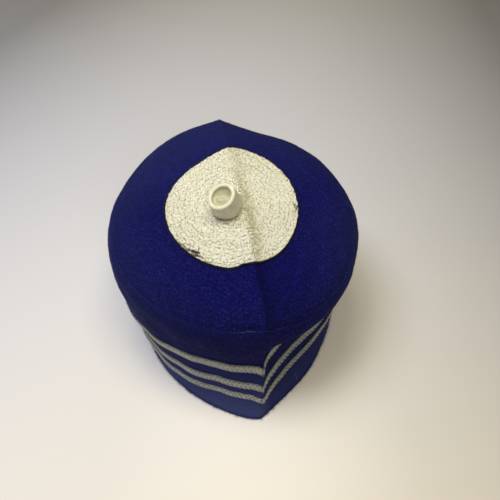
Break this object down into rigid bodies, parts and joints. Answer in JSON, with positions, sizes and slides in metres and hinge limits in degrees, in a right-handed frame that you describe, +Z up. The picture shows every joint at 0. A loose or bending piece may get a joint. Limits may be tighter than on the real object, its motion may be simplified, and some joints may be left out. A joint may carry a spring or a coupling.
{
  "type": "hausa cap",
  "caption": "Soft napped-cloth cap standing on its hem, creased front to back, with a round embroidered crown patch, a small rolled knob and braid bands round the side.",
  "frame": {"origin": "middle of the cap's box, on the surface the hem stands on", "axes": "+Z up, -Y towards the pointed front of the hem, the fore-and-aft crease along Y"},
  "size_m": [0.1982, 0.2224, 0.1495],
  "materials": {
    "blue_cloth": "napped royal blue cloth with a soft sheen",
    "cream_embroidery": "dense cream silk stitching in rings",
    "black_cord": "matte black cotton cord",
    "cream_satin": "satin cloth roll",
    "grey_braid": "silver-grey chain-stitched braid"
  },
  "bodies": {
    "root": {"side_wall": "blue_cloth", "crown_panel": "blue_cloth", "crown_disc": "cream_embroidery", "disc_edging": "black_cord", "knob": "cream_satin", "stripe_upper": "grey_braid", "stripe_middle": "grey_braid", "stripe_lower": "grey_braid"}
  },
  "joints": []
}
